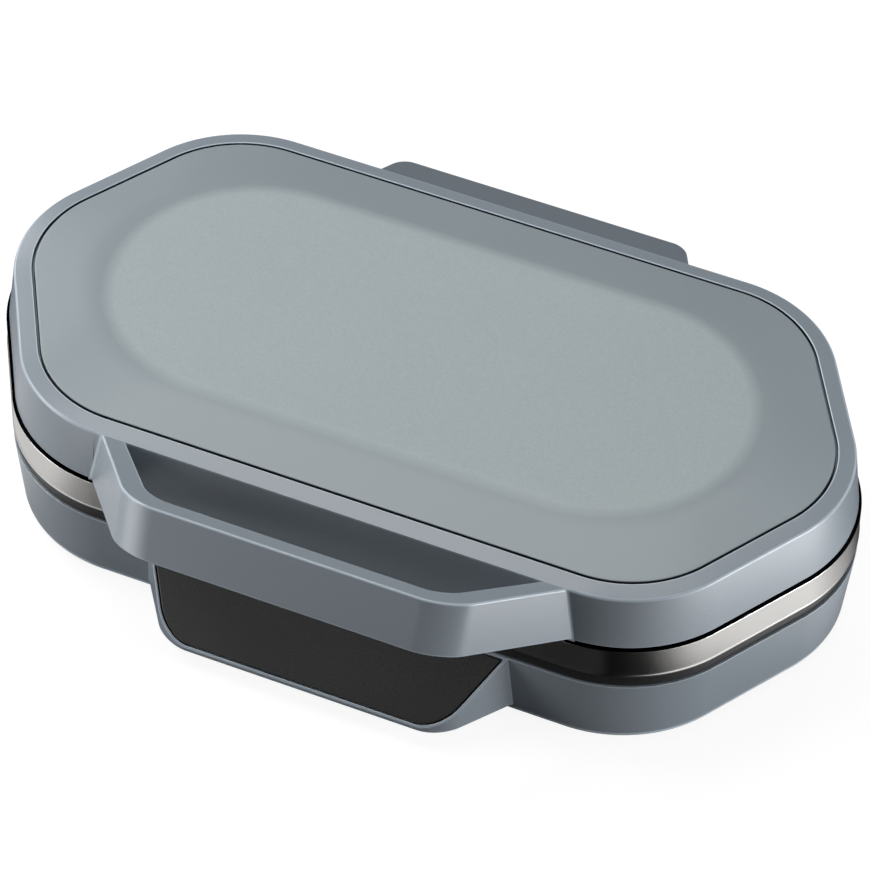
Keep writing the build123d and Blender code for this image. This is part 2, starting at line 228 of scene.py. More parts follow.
def makeCamera():
    values = cameraValues
    azimuth, elevation = radians(values["azimuth"]), radians(values["elevation"])
    back = Vector((sin(azimuth) * cos(elevation), -cos(azimuth) * cos(elevation), sin(elevation)))
    turn = back.to_track_quat("Z", "Y").to_matrix() @ Matrix.Rotation(radians(values["roll"]), 3, "Z")
    data = bpy.data.cameras.new("camera")
    data.lens = values["lens"]
    data.sensor_width = values["sensor"]
    data.clip_end = values["clipEnd"]
    camera = bpy.data.objects.new("camera", data)
    camera.matrix_world = Matrix.Translation(Vector(values["place"]) + middle) @ turn.to_4x4()
    scene.collection.objects.link(camera)
    scene.camera = camera


makeCamera()
print("camera placed")


# Shader maths: a socket that can be added, multiplied and compared in Python
class Wire:
    def __init__(self, graph, output):
        self.graph = graph
        self.output = output

    def math(self, operation, *terms):
        return self.graph.node("ShaderNodeMath", {"operation": operation}, dict(enumerate(terms)))

    def __add__(self, other):
        return self.math("ADD", self, other)

    def __radd__(self, other):
        return self.math("ADD", other, self)

    def __sub__(self, other):
        return self.math("SUBTRACT", self, other)

    def __rsub__(self, other):
        return self.math("SUBTRACT", other, self)

    def __mul__(self, other):
        return self.math("MULTIPLY", self, other)

    def __rmul__(self, other):
        return self.math("MULTIPLY", other, self)

    def __truediv__(self, other):
        return self.math("DIVIDE", self, other)

    def __pow__(self, other):
        return self.math("POWER", self, other)

    def __abs__(self):
        return self.math("ABSOLUTE", self)

    def above(self, other):
        return self.math("MAXIMUM", self, other)

    def below(self, other):
        return self.math("MINIMUM", self, other)

    def clear(self):
        return self.above(0.0).below(1.0)


class Finish:
    # one material and its nodes
    def __init__(self, name):
        self.material = bpy.data.materials.new(name)
        self.material.use_nodes = True
        self.tree = self.material.node_tree
        self.shader = self.tree.nodes["Principled BSDF"]
        self.place = None

    def node(self, kind, settings=None, values=None, output=0):
        made = self.tree.nodes.new(kind)
        for key, value in (settings or {}).items():
            if key == "stops":
                self.setStops(made.color_ramp, value)
            else:
                setattr(made, key, value)
        for key, value in (values or {}).items():
            self.feed(made.inputs[key], value)
        return Wire(self, made.outputs[output])

    def setStops(self, ramp, stops):
        while len(ramp.elements) < len(stops):
            ramp.elements.new(0.5)
        for element, (position, color) in zip(ramp.elements, stops):
            element.position = position
            element.color = color

    def feed(self, socket, value):
        if isinstance(value, Wire):
            self.tree.links.new(value.output, socket)
        else:
            socket.default_value = value

    def here(self):
        # the point in the piece's own space, in metres
        if self.place is None:
            self.place = self.node("ShaderNodeTexCoord", output="Object")
        return self.place

    def marked(self, name):
        # 1 on the faces that carry this mark
        return self.node("ShaderNodeAttribute", {"attribute_name": name}, output=2)

    def axes(self):
        split = self.node("ShaderNodeSeparateXYZ", values={0: self.here()})
        outputs = split.output.node.outputs
        return Wire(self, outputs[0]), Wire(self, outputs[1]), Wire(self, outputs[2])

    def noise(self, scale, detail=2.0, roughness=0.5, stretch=None):
        vector = self.here()
        if stretch:
            vector = self.node("ShaderNodeMapping", values={"Vector": vector, "Scale": stretch})
        values = {"Vector": vector, "Scale": scale, "Detail": detail, "Roughness": roughness}
        return self.node("ShaderNodeTexNoise", {"noise_dimensions": "3D"}, values)

    def mixColor(self, factor, first, second):
        values = {0: factor, 6: first, 7: second}
        return self.node("ShaderNodeMix", {"data_type": "RGBA"}, values, output=2)

    def bump(self, height, strength, distance):
        values = {"Height": height, "Strength": strength, "Distance": distance}
        return self.node("ShaderNodeBump", values=values)

    def constants(self, **values):
        for key, value in values.items():
            self.shader.inputs[key.replace("_", " ")].default_value = value

    def vary(self, **values):
        for key, value in values.items():
            self.feed(self.shader.inputs[key.replace("_", " ")], value)


def tone(red, green, blue):
    return (red, green, blue, 1.0)


def shade(color, factor):
    return (color[0] * factor, color[1] * factor, color[2] * factor, 1.0)


# Moulded grey plastic of the housing: even colour, fine spark grain, a little variation in gloss.
# Fillets are painted lighter, a painted highlight, and are smoother; faces inside a seam are painted
# black, painted shade.
# A noise is (scale, detail, roughness, stretch), as far as it is given.
plastic = {
    "drift": (9.0, 2.0), "driftTones": (0.955, 1.045),
    "grain": (2600.0, 2.0, 0.6), "patches": (38.0, 3.0),
    "edgeGloss": 0.06, "patchGloss": 0.05, "grainGloss": 0.06,
}
# The "edge" factor paints fillets this many times lighter, a painted highlight on the edges
housingGrey = {"color": tone(0.262, 0.300, 0.338), "rough": 0.29, "bump": 0.04, "edge": 2.3}
hingeGrey = {"color": tone(0.155, 0.180, 0.205), "rough": 0.42, "bump": 0.05, "edge": 1.4}
# Black painted into seams and gaps: painted shade where their shadow falls
seamShadeBlack = tone(0.004, 0.004, 0.005)
fineDepth = 0.0002


def makeHousing(name, values):
    finish = Finish(name)
    drift = finish.noise(*plastic["drift"])
    grain = finish.noise(*plastic["grain"])
    patches = finish.noise(*plastic["patches"])
    fillet, gap = finish.marked("fillet"), finish.marked("gap")
    color = values["color"]
    dark, light = [shade(color, factor) for factor in plastic["driftTones"]]
    # fillets are mixed to a lighter tone: a painted highlight on the edges
    edgeHighlight = finish.mixColor(fillet, finish.mixColor(drift, dark, light), shade(color, values["edge"]))
    gloss = (patches - 0.5) * plastic["patchGloss"] + (grain - 0.5) * plastic["grainGloss"]
    # faces marked as in a seam are painted black: painted shade
    finish.vary(
        Base_Color=finish.mixColor(gap, edgeHighlight, seamShadeBlack),
        Roughness=values["rough"] - fillet * plastic["edgeGloss"] + gloss,
        Normal=finish.bump(grain, values["bump"], fineDepth),
    )
    return finish.material


# Top panel: the raised middle is finer grained and lighter than its smooth shoulders, partly its own
# lighter finish and partly painted light for the flat top that catches the light
panelGrey = {
    "color": tone(0.255, 0.302, 0.330), "middle": tone(0.380, 0.438, 0.452),
    "rough": 0.36, "middleRough": 0.03,
    # below the "edge" height the panel's sides are painted black, painted shade in the seam
    "halfLength": 0.141, "radius": 0.063, "soft": 0.006, "edge": 0.0856, "seamShadeSharpness": 20000.0,
    "drift": (8.0, 3.0), "grain": (1100.0, 3.0, 0.7), "fine": (3000.0, 2.0, 0.6),
    "dark": tone(0.10, 0.12, 0.13), "light": tone(0.75, 0.80, 0.80), "speckle": 0.16,
    "middleSpeckle": 1.2, "plainSpeckle": 0.25, "driftSpeckle": 0.3, "grainGloss": 0.05,
    "middleBump": 0.8, "fineBump": 0.4, "bump": 0.06,
}


def makePanel():
    values = panelGrey
    finish = Finish("panelGrey")
    x, y, z = finish.axes()
    along = (abs(x) - (values["halfLength"] - values["radius"])).above(0.0)
    across = y - middle.y
    reach = (along * along + across * across) ** 0.5
    inside = ((values["radius"] - reach) / values["soft"] + 0.5).clear()
    drift = finish.noise(*values["drift"])
    grain = finish.noise(*values["grain"])
    fine = finish.noise(*values["fine"])
    # the middle is painted lighter: partly its own finish, partly painted light on the raised top
    base = finish.mixColor(inside, values["color"], values["middle"])
    strength = inside * values["middleSpeckle"] + values["plainSpeckle"]
    speckle = ((grain - 0.5) * strength + (drift - 0.5) * values["driftSpeckle"] + 0.5).clear()
    dark = finish.mixColor(values["speckle"], base, values["dark"])
    light = finish.mixColor(values["speckle"], base, values["light"])
    # the panel's sides below its top edge are painted black: painted shade in the seam
    below = ((values["edge"] - z) * values["seamShadeSharpness"]).clear()
    relief = grain * inside * values["middleBump"] + fine * values["fineBump"]
    finish.vary(
        Base_Color=finish.mixColor(below, finish.mixColor(speckle, dark, light), seamShadeBlack),
        Roughness=values["rough"] + inside * values["middleRough"] + (grain - 0.5) * values["grainGloss"],
        Normal=finish.bump(relief, values["bump"], fineDepth),
    )
    return finish.material


# Polished sheet steel of the band, with fine lengthwise polishing marks
bandSteel = {
    "lines": (60.0, 3.0, 0.6, (0.4, 0.4, 90.0)), "cloud": (22.0, 2.0),
    "dark": tone(0.70, 0.69, 0.67), "light": tone(0.76, 0.75, 0.735),
    "rough": 0.19, "cloudGloss": 0.05, "lineGloss": 0.03, "bump": 0.03, "depth": 0.0001,
}


def makeSteel():
    values = bandSteel
    finish = Finish("bandSteel")
    lines = finish.noise(*values["lines"])
    cloud = finish.noise(*values["cloud"])
    bright = finish.mixColor(cloud, values["dark"], values["light"])
    # the band's faces marked as in the seam are painted black: painted shade
    finish.vary(
        Base_Color=finish.mixColor(finish.marked("gap"), bright, seamShadeBlack),
        Roughness=values["rough"] + cloud * values["cloudGloss"] + (lines - 0.5) * values["lineGloss"],
        Normal=finish.bump(lines, values["bump"], values["depth"]),
    )
    finish.constants(Metallic=1.0)
    return finish.material


# Black non-stick coat on the cast plates: faint orange peel and tiny flecks
nonstickCoat = {
    "peel": (420.0, 2.0), "flecks": (1800.0, 1.0), "fleckStart": 0.70, "fleckSharpness": 14.0,
    "color": tone(0.022, 0.022, 0.023), "fleck": tone(0.11, 0.11, 0.115),
    "rough": 0.30, "peelGloss": 0.10, "bump": 0.10, "depth": 0.0003, "specular": 0.7,
}


def makeNonstick():
    values = nonstickCoat
    finish = Finish("nonstickCoat")
    peel = finish.noise(*values["peel"])
    flecks = finish.noise(*values["flecks"])
    bright = ((flecks - values["fleckStart"]) * values["fleckSharpness"]).clear()
    finish.vary(
        Base_Color=finish.mixColor(bright, values["color"], values["fleck"]),
        Roughness=values["rough"] + (peel - 0.5) * values["peelGloss"],
        Normal=finish.bump(peel, values["bump"], values["depth"]),
    )
    finish.constants(Specular_IOR_Level=values["specular"])
    return finish.material


# Satin near-black plastics: the console panel is smoother than the base cover and the gland.
# Each is (name, colour, roughness, grain, bump strength).
satin = {"drift": (14.0, 2.0), "driftTones": (0.9, 1.1), "gloss": 0.05}
blacks = {
    "console": ("consoleBlack", tone(0.036, 0.036, 0.037), 0.27, (1900.0, 2.0, 0.6), 0.03),
    "black": ("blackPlastic", tone(0.022, 0.022, 0.024), 0.48, (1300.0, 2.0, 0.6), 0.12),
}


def makeBlack(name, color, rough, grainNoise, bump):
    finish = Finish(name)
    grain = finish.noise(*grainNoise)
    drift = finish.noise(*satin["drift"])
    dark, light = [shade(color, factor) for factor in satin["driftTones"]]
    finish.vary(
        Base_Color=finish.mixColor(drift, dark, light),
        Roughness=rough + (drift - 0.5) * satin["gloss"] + (grain - 0.5) * satin["gloss"],
        Normal=finish.bump(grain, bump, fineDepth),
    )
    return finish.material


# Plain metals inside: rolled sheet, tinted heater sheath, plated screws.
# Each is (name, dark, light, roughness, marks, bump strength).
metalGloss = 0.15
metals = {
    "sheet": ("shieldSheet", tone(0.55, 0.55, 0.56), tone(0.78, 0.78, 0.79), 0.32,
              (40.0, 3.0, 0.6, (1, 12, 1)), 0.05),
    "sheath": ("heaterSheath", tone(0.16, 0.13, 0.11), tone(0.36, 0.33, 0.31), 0.42,
               (90.0, 3.0, 0.6, (1, 1, 1)), 0.1),
    "screw": ("platedSteel", tone(0.50, 0.50, 0.52), tone(0.70, 0.70, 0.72), 0.28,
              (500.0, 3.0, 0.6, (1, 1, 1)), 0.05),
}


def makeMetal(name, dark, light, rough, markNoise, bump):
    finish = Finish(name)
    marks = finish.noise(*markNoise)
    finish.vary(
        Base_Color=finish.mixColor(marks, dark, light),
        Roughness=rough + (marks - 0.5) * metalGloss,
        Normal=finish.bump(marks, bump, fineDepth),
    )
    finish.constants(Metallic=1.0)
    return finish.material


# Clear coloured lenses of the two lights, each (deep, bright)
lensGloss = {"swirl": (240.0, 2.0), "rough": 0.12, "swirlGloss": 0.06, "coat": 0.5, "coatRough": 0.05}
lenses = {
    "redLens": (tone(0.30, 0.008, 0.005), tone(0.62, 0.03, 0.02)),
    "greenLens": (tone(0.01, 0.20, 0.03), tone(0.05, 0.45, 0.10)),
}


def makeLens(name, deep, bright):
    finish = Finish(name)
    swirl = finish.noise(*lensGloss["swirl"])
    finish.vary(
        Base_Color=finish.mixColor(swirl, deep, bright),
        Roughness=lensGloss["rough"] + swirl * lensGloss["swirlGloss"],
    )
    finish.constants(Coat_Weight=lensGloss["coat"], Coat_Roughness=lensGloss["coatRough"])
    return finish.material


# Matt materials: rubber, wool, circuit board, nylon and silicone. Each is (name, dark, light,
# roughness, how far the noise changes it, noise, bump strength, bump depth).
matts = {
    "rubber": ("footRubber", tone(0.012, 0.012, 0.012), tone(0.035, 0.034, 0.033), 0.72, 0.2,
               (300.0, 3.0), 0.2, 0.0003),
    "wool": ("mineralWool", tone(0.52, 0.49, 0.42), tone(0.82, 0.80, 0.74), 0.9, 0.1,
             (260.0, 4.0, 0.65), 0.6, 0.0004),
    "board": ("circuitBoard", tone(0.012, 0.10, 0.035), tone(0.03, 0.19, 0.08), 0.45, 0.1,
              (500.0, 4.0, 0.65), 0.1, 0.0004),
    "nylon": ("terminalNylon", tone(0.66, 0.65, 0.61), tone(0.80, 0.79, 0.75), 0.5, 0.1,
              (300.0, 4.0, 0.65), 0.05, 0.0004),
    "silicone": ("leadSilicone", tone(0.62, 0.61, 0.57), tone(0.76, 0.75, 0.70), 0.55, 0.1,
                 (300.0, 4.0, 0.65), 0.05, 0.0004),
}


def makeMatt(name, dark, light, rough, gloss, fibreNoise, bump, depth):
    finish = Finish(name)
    fibre = finish.noise(*fibreNoise)
    finish.vary(
        Base_Color=finish.mixColor(fibre, dark, light),
        Roughness=rough + (fibre - 0.5) * gloss,
        Normal=finish.bump(fibre, bump, depth),
    )
    return finish.material


finishes = {
    "housing": makeHousing("housingGrey", housingGrey),
    "panel": makePanel(),
    "hinge": makeHousing("hingeGrey", hingeGrey),
    "steel": makeSteel(),
    "plate": makeNonstick(),
}
for key, values in blacks.items():
    finishes[key] = makeBlack(*values)
for key, values in metals.items():
    finishes[key] = makeMetal(*values)
for key, values in lenses.items():
    finishes[key] = makeLens(key, *values)
for key, values in matts.items():
    finishes[key] = makeMatt(*values)
print("finishes made:", len(finishes))

# Construction pieces that keep their shape, by the finish that they get
carried = {
    "housing": ["handle_insert"],
    "sheath": ["upper_heating_element", "lower_heating_element"],
    "sheet": ["upper_heat_shield", "lower_heat_shield", "thermostat"],
    "wool": ["upper_insulation_pad"],
    "screw": ["upper_thermal_fuse", "lower_thermal_fuse", "upper_plate_screws", "base_screws",
              "hinge_cover_screws", "hinge_pins"],
    "black": ["base_cover", "cord_gland", "cord_clamp"],
    "rubber": ["rubber_feet"],
    "redLens": ["power_light"],
    "greenLens": ["ready_light"],
    "board": ["indicator_board"],
    "nylon": ["terminal_block"],
    "silicone": ["inner_leads"],
}
for key, nodes in carried.items():
    for node in nodes:
        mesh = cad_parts[node].data
        mesh.materials.clear()
        mesh.materials.append(finishes[key])
print("construction pieces finished:", sum(len(nodes) for nodes in carried.values()))


# Lid rim: groove wall, top, crest, drafted wall, then back up inside to the panel's ledge
lidRim = {
    "seam": (0.62, 85.95), "crest": (8.25, 84.28), "foot": (11.16, 58.93), "inner": (8.56, 58.93),
    "roof": (6.1, 80.4), "ledgeLow": (-7.0, 80.4), "ledgeHigh": (-7.0, 82.8),
    "grooveFloor": (0.62, 82.8),
    "seamRadius": 0.45, "edgeRadius": 0.9, "sharp": 40, "seamFaces": (82.7, 85.4), "seamFacing": 1.0,
}


def makeRim():
    bm = bmesh.new()
    values = lidRim
    profile = [
        (*values["grooveFloor"], 0), (*values["seam"], values["seamRadius"]), (*values["crest"], 0),
        (*values["foot"], 0), (*values["inner"], 0), (*values["roof"], 0),
        (*values["ledgeLow"], 0), (*values["ledgeHigh"], 0),
    ]
    ringShell(bm, profile)
    return bm


# Handle: a loop in a tilted plane; local x across, y towards the lid, z up out of the loop
handle = {
    "tilt": 22.0, "thickness": 24.0, "root": 97.39, "crest": 84.3, "overlap": 16.0,
    "outer": (102.6, 70.1, 47.04, 26.7), "gap": (91.7, 64.2, 37.64, 18.7),
    "cornerSteps": 14, "sink": 1.3, "pocket": 4.0, "skin": 2.2,
}


def armCorners(rootHalf, frontHalf, reach, overlap):
    back = rootHalf + (rootHalf - frontHalf) / reach * overlap
    return [(back, overlap), (frontHalf, -reach), (-frontHalf, -reach), (-back, overlap)]


def roundCorners(bm, verts, radius, steps):
    for vert in verts:
        first, second = [edge.other_vert(vert).co - vert.co for edge in vert.link_edges]
        offset = meshing["cornerFit"] * radius / tan(first.angle(second) / 2)
        bmesh.ops.bevel(
            bm, geom=[vert], offset=offset, offset_type="OFFSET", segments=steps,
            profile=0.5, affect="VERTICES", material=-1,
        )


def extrudeBy(bm, faces, move):
    made = bmesh.ops.extrude_face_region(bm, geom=faces)["geom"]
    bmesh.ops.translate(bm, vec=move, verts=only(made, BMVert))
    return only(made, BMFace)


def keepBelow(bm, point, normal):
    # cut the piece off above a plane and close it; gives the closing face
    geom = bm.verts[:] + bm.edges[:] + bm.faces[:]
    made = bmesh.ops.bisect_plane(bm, geom=geom, plane_co=point, plane_no=normal, clear_outer=True)
    filled = bmesh.ops.holes_fill(bm, edges=only(made["geom_cut"], BMEdge), sides=0)["faces"]
    bmesh.ops.recalc_face_normals(bm, faces=bm.faces)
    return filled


def makeHandle():
    values = handle
    bm = bmesh.new()
    outer = armCorners(*values["outer"][:3], values["overlap"])
    gap = armCorners(*values["gap"][:3], values["overlap"])
    outerVerts = [bm.verts.new((x, y, 0)) for x, y in outer]
    gapVerts = [bm.verts.new((x, y, 0)) for x, y in reversed(gap)]
    bm.faces.new(outerVerts + gapVerts)
    roundCorners(bm, outerVerts[1:3], values["outer"][3], values["cornerSteps"])
    roundCorners(bm, gapVerts[1:3], values["gap"][3], values["cornerSteps"])
    under = extrudeBy(bm, bm.faces[:], (0, 0, -values["thickness"]))
    bmesh.ops.recalc_face_normals(bm, faces=bm.faces)
    insetFaces(bm, under, values["skin"])
    extrudeBy(bm, under, (0, 0, values["pocket"]))
    dropFaces(bm, under)
    place = Matrix.Translation((0, -values["root"], values["crest"]))
    turn = Matrix.Rotation(-radians(values["tilt"]), 4, "X")
    bmesh.ops.transform(bm, matrix=place @ turn, verts=bm.verts)
    crest, foot = lidRim["crest"], lidRim["foot"]
    inward = Vector((0, crest[1] - foot[1], foot[0] - crest[0])).normalized()
    keepBelow(bm, Vector((0, -values["root"] + values["sink"], values["crest"])), inward)
    return bm


# faces of the lid's seam, to be painted black as painted shade
def inSeam(spot, normal):
    low, high = lidRim["seamFaces"]
    return low < spot.z < high and normal.dot(Vector((spot.x, spot.y, 0))) < lidRim["seamFacing"]


def makeLid():
    bm = unite(makeRim(), makeHandle())
    paintSeamShade(bm, inSeam)
    roundRing(bm, sharpEdges(bm, lidRim["sharp"]), lidRim["edgeRadius"])
    tidyNormals(bm)
    finishPiece(bm, "lidShell", "lid", finishes["housing"], ["lid_shell"])


# Top panel: a raised racetrack plateau that runs down to the seam through soft shoulders
panel = {
    "seam": -0.62, "height": 85.95, "underside": 82.8, "edgeRadius": 0.3,
    "plateauHalfLength": 142.0, "plateauRadius": 57.0, "plateauHeight": 90.5, "soft": 0.2, "rows": 28,
}


def shoulderRise(share, soft):
    # 0 at the seam, a straight slope, then a soft turn onto the flat plateau
    if share <= 1 - 2 * soft:
        return share / (1 - soft)
    return 1 - (1 - share) ** 2 / (4 * soft * (1 - soft))


def blendRing(bm, share, height):
    # a ring part of the way from the seam's outline to the plateau's
    verts = evenCircle(bm, 1.0)
    for vert in verts:
        ray = vert.co.copy()
        track = ray * panel["plateauRadius"]
        track.x += (panel["plateauHalfLength"] - panel["plateauRadius"]) * (1 if ray.x > 0 else -1)
        vert.co = (ray * (housing["corner"] + panel["seam"]) + cornerTowards(ray)).lerp(track, share)
        vert.co.z = height
    return ringEdges(verts)


def makePanelPiece():
    values = panel
    bm = bmesh.new()
    low = outlineRing(bm, values["seam"], values["underside"])
    high = outlineRing(bm, values["seam"], values["height"])
    rings = [low, high]
    lift = values["plateauHeight"] - values["height"]
    for row in range(1, values["rows"] + 1):
        share = row / values["rows"]
        rings.append(blendRing(bm, share, values["height"] + lift * shoulderRise(share, values["soft"])))
    bridgeAll(bm, rings)
    bmesh.ops.holes_fill(bm, edges=rings[-1], sides=0)
    bmesh.ops.holes_fill(bm, edges=low, sides=0)
    roundRing(bm, high, values["edgeRadius"], segments=2)
    tidyNormals(bm)
    finishPiece(bm, "lidPanel", "lid", finishes["panel"], ["lid_panel"])


# Steel band under the lid's edge, with a rolled lower lip; its flat top lies in the seam
bandSeam = 57.0
band = [
    (6.0, 58.2, 0), (12.4, 58.2, 0.15), (12.42, 45.0, 0), (12.7, 44.4, 0), (12.7, 43.7, 0),
    (12.3, 43.3, 0), (11.8, 43.5, 0), (11.7, 57.5, 0), (6.0, 57.5, 0),
]


def makeBand():
    bm = bmesh.new()
    ringShell(bm, band)
    tidyNormals(bm)
    # the band's flat top in the seam is painted black, painted shade under the lid
    paintSeamShade(bm, lambda spot, normal: spot.z > bandSeam and normal.z > meshing["flat"])
    finishPiece(bm, "steelBand", "lid", finishes["steel"], ["steel_band"])


# Flat blocks that narrow to a rounded end under a sloping top: console wedge and hinge cover.
# A plan is (half width at the root, half width at the end, reach, corner radius).
wedge = {
    "plan": (80.4, 61.95, 26.46, 22.0), "root": -101.64, "overlap": 8.0, "cornerSteps": 12,
    "low": 7.4, "high": 37.1, "lip": 9.2, "foot": 3.0, "taper": 3.6, "border": 0.95, "depth": 2.2,
    "fit": 0.65, "edgeRadius": 0.35, "panelRadius": 0.45, "sharp": 28,
    "seats": ((3.0, -94.7), (7.4, -96.0), (37.1, -100.3)), "seatStart": 1.0, "seatMatch": 0.1,
    "pocketStart": 0.3, "pocketFacing": 0.2,
}
cover = {
    "plan": (80.8, 66.7, 28.0, 9.9), "root": 97.0, "overlap": 6.0, "cornerSteps": 8,
    "low": 54.0, "high": 69.6, "lip": 66.4, "edgeRadius": 0.9,
}


def taperBlock(bm, values, facing):
    # facing is -1 for the front and 1 for the back; gives the sloping top's face
    corners = armCorners(*values["plan"][:3], values["overlap"])
    sheet = bmesh.ops.create_grid(bm, x_segments=1, y_segments=1, size=1.0)["verts"]
    # the sheet's four corners in turn, starting with the one at 45 degrees
    order = sorted(sheet, key=lambda vert: (atan2(vert.co.y, vert.co.x) - radians(30)) % (2 * pi))
    for vert, corner in zip(order, [corners[0], corners[3], corners[2], corners[1]]):
        vert.co = (-corner[0] * facing, -corner[1] * facing + values["root"], values["low"])
    roundCorners(bm, order[2:4], values["plan"][3], values["cornerSteps"])
    extrudeBy(bm, bm.faces[:], (0, 0, values["high"] - values["low"]))
    bmesh.ops.recalc_face_normals(bm, faces=bm.faces)
    fall = (values["high"] - values["lip"]) / values["plan"][2]
    normal = Vector((0, facing * fall, 1)).normalized()
    return keepBelow(bm, Vector((0, values["root"], values["high"])), normal)


def seatWedge(bm):
    # the back end slides along the sides until it lies within the base's wall at every height
    half, frontHalf, reach = wedge["plan"][:3]
    for vert in bm.verts:
        for height, back in wedge["seats"]:
            behind = vert.co.y > wedge["root"] + wedge["seatStart"]
            if behind and abs(vert.co.z - height) < wedge["seatMatch"]:
                move = back - vert.co.y
                vert.co += Vector((copysign((half - frontHalf) / reach, vert.co.x), 1, 0)) * move


# faces of the console's pocket, to be painted black as painted shade
def inPocket(spot, normal):
    reach = wedge["plan"][2]
    centre = Vector((0, wedge["root"] - reach / 2, (wedge["high"] + wedge["lip"]) / 2))
    ahead = spot.y < wedge["root"] - wedge["pocketStart"]
    return ahead and (spot - centre).dot(normal) < -wedge["pocketFacing"]


def makeWedge():
    values = wedge
    bm = bmesh.new()
    slope = taperBlock(bm, values, -1)
    under = [face for face in bm.faces if face.normal.z < -meshing["flat"]]
    insetFaces(bm, under, values["taper"])
    bmesh.ops.translate(bm, vec=(0, 0, values["foot"] - values["low"]), verts=under[0].verts)
    seatWedge(bm)
    insetFaces(bm, slope, values["border"])
    extrudeBy(bm, slope, -slope[0].normal * values["depth"])
    dropFaces(bm, slope)
    return bm


def makeConsole():
    values = wedge
    bm = bmesh.new()
    slope = taperBlock(bm, values, -1)
    insetFaces(bm, slope, values["border"] + values["fit"])
    dropFaces(bm, [face for face in bm.faces if face not in slope])
    extrudeBy(bm, slope, -slope[0].normal * values["depth"])
    roundRing(bm, sharpEdges(bm), values["panelRadius"])
    tidyNormals(bm)
    finishPiece(bm, "consolePanel", "base", finishes["console"], ["console_panel"])


def makeHingeCover():
    bm = bmesh.new()
    taperBlock(bm, cover, 1)
    roundRing(bm, sharpEdges(bm), cover["edgeRadius"])
    tidyNormals(bm)
    finishPiece(bm, "hingeCover", "lid", finishes["hinge"], ["hinge_cover"])


# Base shell: drafted wall on a narrow foot, with a shelf inside for the cover underneath
base = [
    (6.6, 3.0, 0), (8.7, 3.6, 0.5), (9.3, 5.0, 0.8), (12.5, 37.1, 0), (10.0, 37.1, 0),
    (6.6, 8.0, 0), (-3.0, 8.0, 0), (-3.0, 5.5, 0), (4.15, 5.5, 0), (4.15, 3.0, 0),
]


def makeBase():
    ring = bmesh.new()
    ringShell(ring, base)
    bm = unite(ring, makeWedge())
    paintSeamShade(bm, inPocket)
    roundRing(bm, sharpEdges(bm, wedge["sharp"]), wedge["edgeRadius"])
    tidyNormals(bm)
    finishPiece(bm, "baseShell", "base", finishes["housing"], ["base_shell"])


# Waffle plates: a skirt round the edge, two round wells, tapered studs and a low cross in each
plate = {
    "middle": 43.1, "gap": 0.4, "grow": 11.3, "skin": 3.0, "skirtWidth": 3.3,
    "lowerSkirt": 37.12, "upperSkirt": 57.35, "sharp": 35,
    "wellX": 88.0, "mouth": 76.0, "floor": 73.4, "depth": 12.0, "wellSteps": 96, "wellReach": 85.0,
    "pitch": 18.0, "rows": 8, "studBase": 12.0, "studTip": 8.4, "studHeight": 9.0, "studMargin": 1.0,
    "rib": 3.0, "edgeRadius": 0.8, "mouthRadius": 1.2, "rimRadius": 0.8, "grooveDepth": 1.4,
    "groove": ((78.4, 0), (78.6, 1), (81.4, 1), (81.6, 0)),
}


def gridCuts():
    centres = [plate["pitch"] * (n + 0.5 - plate["rows"] / 2) for n in range(plate["rows"])]
    half = plate["studBase"] / 2
    cuts = [c + side * half for c in centres for side in (-1, 1)]
    return centres, cuts + [-plate["rib"] / 2, plate["rib"] / 2]


def wellFloor(bm, centreX, level, rise):
    # a round face cut along the grid's lines; the stud squares are pulled out and drawn in
    values = plate
    centre = Vector((centreX, 0, level))
    disc = bmesh.ops.create_circle(
        bm, cap_ends=True, segments=values["wellSteps"], radius=values["floor"],
        matrix=Matrix.Translation(centre),
    )
    faces = list(disc["verts"][0].link_faces)
    centres, cuts = gridCuts()
    for axis in (Vector((1, 0, 0)), Vector((0, 1, 0))):
        for cut in cuts:
            edges = {edge for face in faces for edge in face.edges}
            verts = {vert for face in faces for vert in face.verts}
            made = bmesh.ops.bisect_plane(
                bm, geom=faces + list(edges) + list(verts), plane_co=centre + axis * cut, plane_no=axis,
                dist=meshing["cutMerge"],
            )
            faces = only(made["geom"], BMFace)
    half, halfRib = values["studBase"] / 2, values["rib"] / 2
    reach = values["floor"] - values["studMargin"]
    studFaces, ribFaces = [], []
    for face in faces:
        spot = face.calc_center_median() - centre
        near = [min(centres, key=lambda c: abs(c - s)) for s in (spot.x, spot.y)]
        onStud = abs(near[0] - spot.x) < half and abs(near[1] - spot.y) < half
        if onStud and hypot(abs(near[0]) + half, abs(near[1]) + half) < reach:
            studFaces.append(face)
        elif abs(spot.x) < halfRib or abs(spot.y) < halfRib:
            ribFaces.append(face)
    for face in bmesh.ops.extrude_discrete_faces(bm, faces=studFaces)["faces"]:
        spot = face.calc_center_median()
        for vert in face.verts:
            vert.co = spot + (vert.co - spot) * values["studTip"] / values["studBase"]
            vert.co.z += rise
    extrudeBy(bm, ribFaces, (0, 0, rise))
    dropFaces(bm, ribFaces)


def liesAt(edge, height, tolerance):
    return all(abs(vert.co.z - height) < tolerance for vert in edge.verts)


def openRing(bm, centreX, level):
    # the open rim of one well's floor
    rims = [edge for edge in bm.edges if len(edge.link_faces) == 1]
    rims = [edge for edge in rims if liesAt(edge, level, meshing["level"])]
    return [edge for edge in rims if abs(edge.verts[0].co.x - centreX) < plate["wellReach"]]


def growRing(bm, edges, centreX, radius, height):
    # pull a round rim out to a new radius and height
    made = bmesh.ops.extrude_edge_only(bm, edges=edges)["geom"]
    for vert in only(made, BMVert):
        out = Vector((vert.co.x - centreX, vert.co.y, 0)).normalized() * radius
        vert.co = Vector((centreX, 0, height)) + out
    return [edge for edge in only(made, BMEdge) if liesAt(edge, height, meshing["exact"])]


